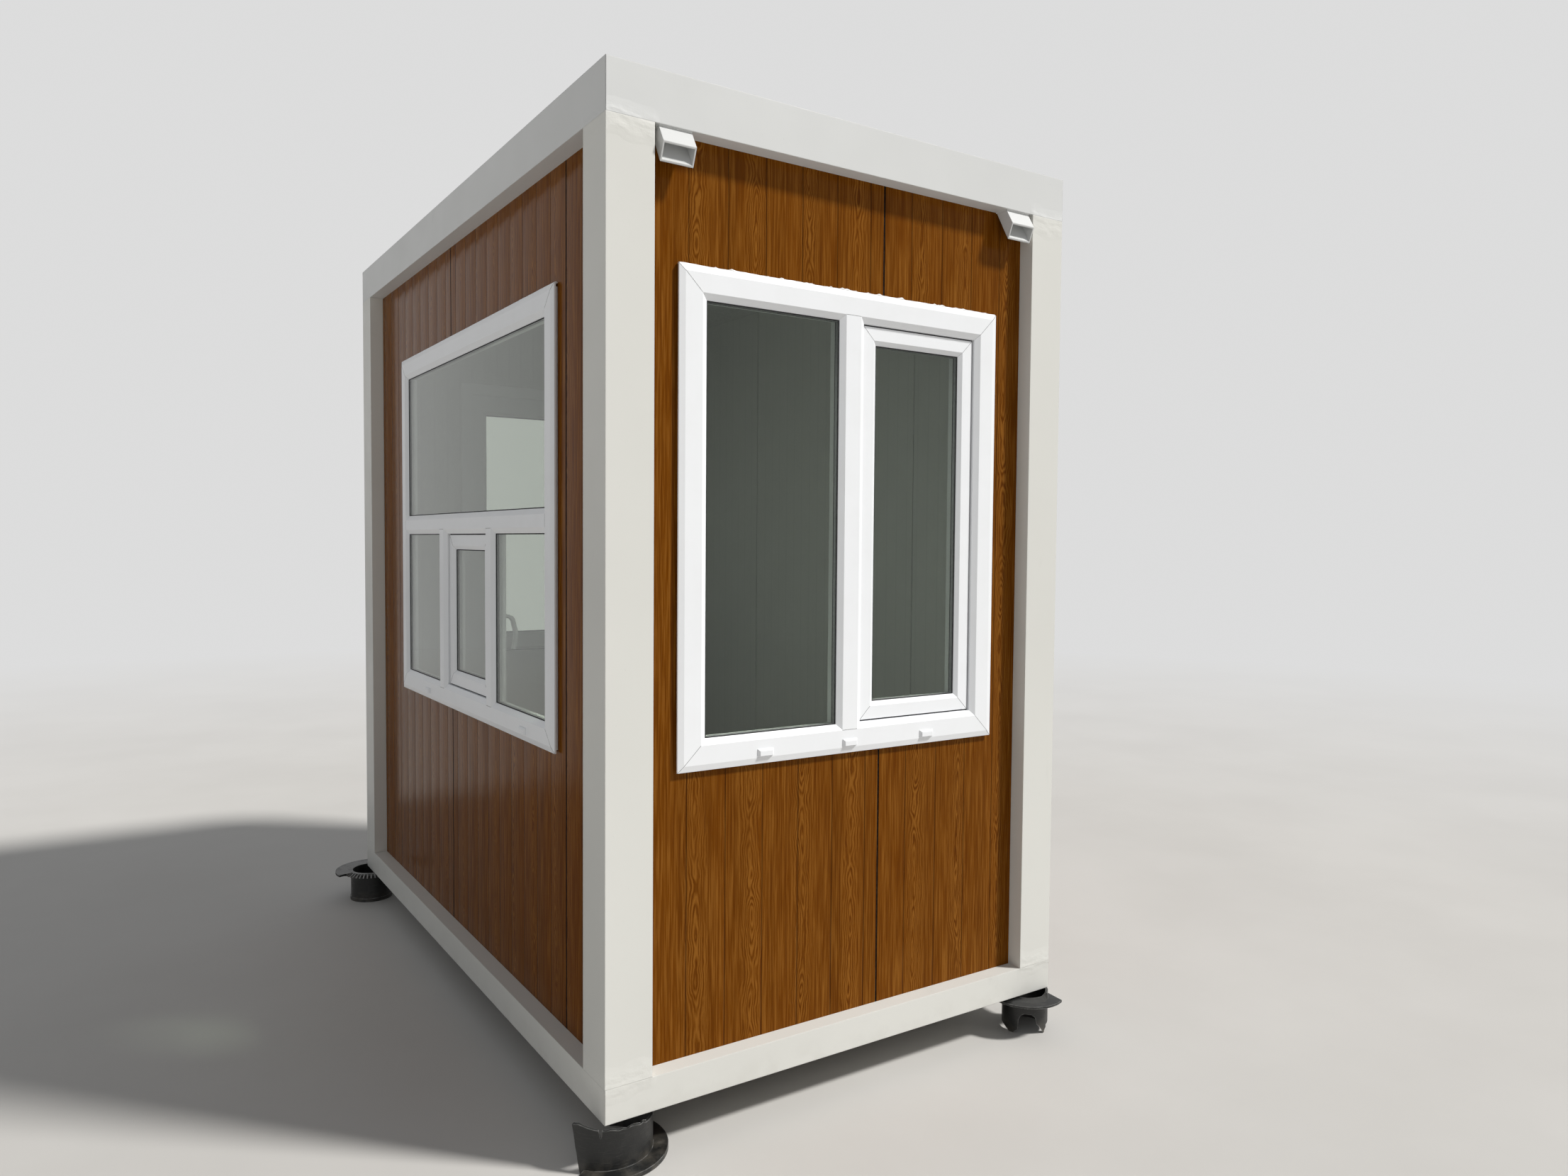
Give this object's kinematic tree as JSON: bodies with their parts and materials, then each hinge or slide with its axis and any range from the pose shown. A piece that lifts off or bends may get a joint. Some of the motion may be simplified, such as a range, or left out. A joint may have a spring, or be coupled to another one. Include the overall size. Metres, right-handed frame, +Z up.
{
  "type": "security guard booth",
  "caption": "Small steel-framed guard booth with wood-grain sandwich walls, white framed windows, a half-glazed door and rain spouts, standing on short black sockets.",
  "frame": {"origin": "on the ground, under the middle of the whole footprint, feet included", "axes": "+X along the front from left to right as seen from outside, +Y from the front to the back, +Z up"},
  "size_m": [1.71, 2.617, 2.61],
  "materials": {
    "frame_paint": "semi-gloss",
    "joist_steel": "matt primer",
    "floor_board": "vinyl faced",
    "ceiling_board": "satin",
    "roof_sheet": "semi-gloss",
    "wall_laminate": "gloss wood grain film",
    "window_plastic": "satin",
    "handle_plastic": "satin",
    "glass": "clear double glazing",
    "foot_plastic": "scuffed"
  },
  "bodies": {
    "booth": {"corner_post_front_left": "frame_paint", "corner_post_front_right": "frame_paint", "corner_post_back_left": "frame_paint", "corner_post_back_right": "frame_paint", "top_beam_front": "frame_paint", "top_beam_back": "frame_paint", "top_beam_left": "frame_paint", "top_beam_right": "frame_paint", "bottom_beam_front": "frame_paint", "bottom_beam_back": "frame_paint", "bottom_beam_left": "frame_paint", "bottom_beam_right": "frame_paint", "rain_spouts": "frame_paint", "floor_joists": "joist_steel", "floor_deck": "floor_board", "ceiling_panel": "ceiling_board", "roof_panel": "roof_sheet", "left_wall_front": "wall_laminate", "left_wall_middle": "wall_laminate", "left_wall_back": "wall_laminate", "front_wall_left": "wall_laminate", "front_wall_right": "wall_laminate", "right_wall_front": "wall_laminate", "right_wall_middle": "wall_laminate", "right_wall_back": "wall_laminate", "back_wall_left": "wall_laminate", "back_wall_right": "wall_laminate", "back_wall_over_door": "wall_laminate", "left_window_frame": "window_plastic", "left_window_glass": "glass", "hatch_sash": "window_plastic", "front_window_frame": "window_plastic", "front_window_glass": "glass", "front_sash": "window_plastic", "window_handles": "handle_plastic", "drain_caps": "window_plastic", "door_frame": "window_plastic", "door_hinges": "handle_plastic", "foot_front_left": "foot_plastic", "foot_front_right": "foot_plastic", "foot_back_left": "foot_plastic", "foot_back_right": "foot_plastic"},
    "door": {"door_leaf": "window_plastic", "door_lower_panel": "window_plastic", "door_glass": "glass", "door_hardware": "handle_plastic"}
  },
  "joints": [
    {"name": "door_hinge", "type": "hinge", "parent": "booth", "child": "door", "pos_m": [-0.298, 1.1925, 1.1], "axis": [0, 0, 1], "range_deg": [0, 95]}
  ]
}
